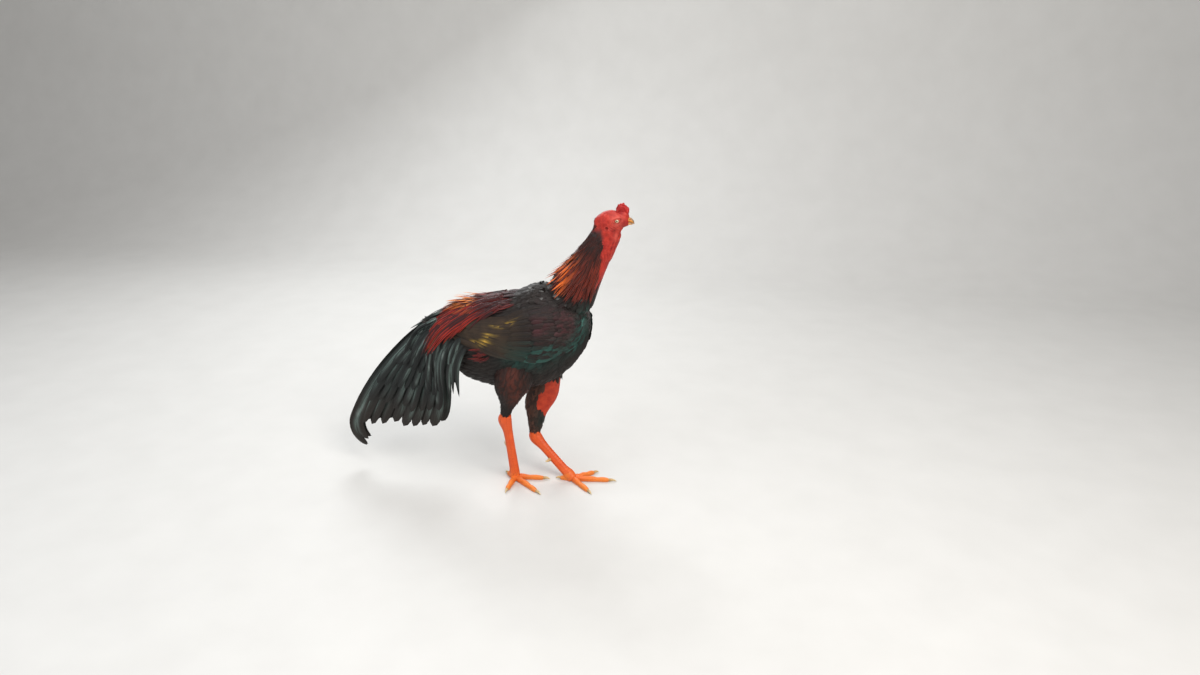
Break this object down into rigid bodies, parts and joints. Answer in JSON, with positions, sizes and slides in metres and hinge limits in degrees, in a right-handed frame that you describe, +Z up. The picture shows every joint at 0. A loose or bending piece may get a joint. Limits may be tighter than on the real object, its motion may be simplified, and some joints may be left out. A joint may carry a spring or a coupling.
{
  "type": "gamecock",
  "caption": "Life-size standing game rooster, feathered body on two scaled legs, with pea comb, hackles and a drooping sickle tail; a still model.",
  "frame": {"origin": "on the floor under the middle of the model's box", "axes": "+X towards the beak, +Y to the bird's left, +Z up"},
  "size_m": [0.6687, 0.1693, 0.6436],
  "materials": {
    "black_plumage": "glossy black feathers with a green sheen",
    "red_plumage": "dark red to orange pointed feathers",
    "wing_plumage": "dark brown feathers with gold and red patches",
    "bare_skin": "bare folded red skin",
    "eye": "pale pearl iris under a clear wet surface",
    "horn": "smooth yellowish horn",
    "leg_scales": "orange scales"
  },
  "bodies": {
    "root": {"beak_lower": "horn", "beak_upper": "horn", "claw_left_hind": "horn", "claw_left_inner": "horn", "claw_left_middle": "horn", "claw_left_outer": "horn", "claw_right_hind": "horn", "claw_right_inner": "horn", "claw_right_middle": "horn", "claw_right_outer": "horn", "comb": "bare_skin", "eye_left": "eye", "eye_right": "eye", "foot_left": "leg_scales", "foot_right": "leg_scales", "head": "bare_skin", "neck": "red_plumage", "saddle": "red_plumage", "shank_left": "leg_scales", "shank_right": "leg_scales", "spur_left": "horn", "spur_right": "horn", "tail": "black_plumage", "thigh_left": "black_plumage", "thigh_right": "black_plumage", "torso": "black_plumage", "wing_left": "wing_plumage", "wing_right": "wing_plumage"}
  },
  "joints": []
}
